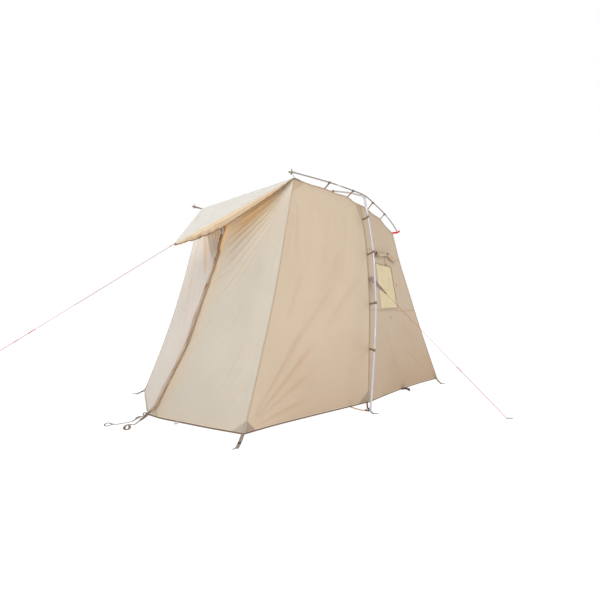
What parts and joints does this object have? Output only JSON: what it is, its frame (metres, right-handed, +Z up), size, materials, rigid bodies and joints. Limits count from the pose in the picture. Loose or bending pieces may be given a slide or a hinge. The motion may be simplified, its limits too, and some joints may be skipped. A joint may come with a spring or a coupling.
{
  "type": "drive-away awning",
  "caption": "Drive-away tailgate awning: a cloth tent on an outside pole frame, with a door canopy, side windows and an open back for a vehicle.",
  "frame": {"origin": "middle of the whole part's outline on the ground, guy lines and pegs included", "axes": "+Y from the door towards the vehicle, +X to the right seen from the door looking at the vehicle, +Z up"},
  "size_m": [4.44, 5.7415, 2.296],
  "materials": {
    "cloth": "sand coloured plain weave",
    "zip": "woven zip tape",
    "mesh": "fine insect mesh",
    "pole": "satin",
    "hub": "moulded",
    "webbing": "ribbed webbing",
    "red": "ribbed webbing",
    "cord": "braided cord",
    "peg": "drawn wire"
  },
  "bodies": {
    "root": {"canopy": "cloth", "canopy_valance_left": "cloth", "canopy_valance_right": "cloth", "door_zip": "zip", "front_panel_left": "cloth", "front_panel_right": "cloth", "ground_strap": "webbing", "guy_line_front": "cord", "guy_line_left": "cord", "guy_line_right": "cord", "guy_peg_front": "peg", "guy_peg_left": "peg", "guy_peg_right": "peg", "hoop_clip_tape_left": "webbing", "hoop_clip_tape_right": "webbing", "hoop_leg_left": "pole", "hoop_leg_right": "pole", "peg_front_left": "peg", "peg_front_right": "peg", "peg_rear_left": "peg", "peg_rear_right": "peg", "peg_side_left": "peg", "peg_side_right": "peg", "peg_strap_door_left": "webbing", "peg_strap_door_right": "webbing", "peg_strap_front_left": "webbing", "peg_strap_front_right": "webbing", "peg_strap_rear_left": "webbing", "peg_strap_rear_right": "webbing", "peg_strap_side_left": "webbing", "peg_strap_side_right": "webbing", "pole_hub_left": "hub", "pole_hub_right": "hub", "pole_tip_left": "hub", "pole_tip_right": "hub", "rear_strap_left": "red", "rear_strap_right": "red", "roof_arch": "pole", "roof_arch_tape": "webbing", "roof_front": "cloth", "roof_rear": "cloth", "roof_strap_tape_left": "webbing", "roof_strap_tape_right": "webbing", "side_pole_left": "pole", "side_pole_right": "pole", "side_wall_left_front": "cloth", "side_wall_left_rear": "cloth", "side_wall_right_front": "cloth", "side_wall_right_rear": "cloth", "window_left": "mesh", "window_right": "mesh", "window_roll_left": "cloth", "window_roll_right": "cloth"}
  },
  "joints": []
}
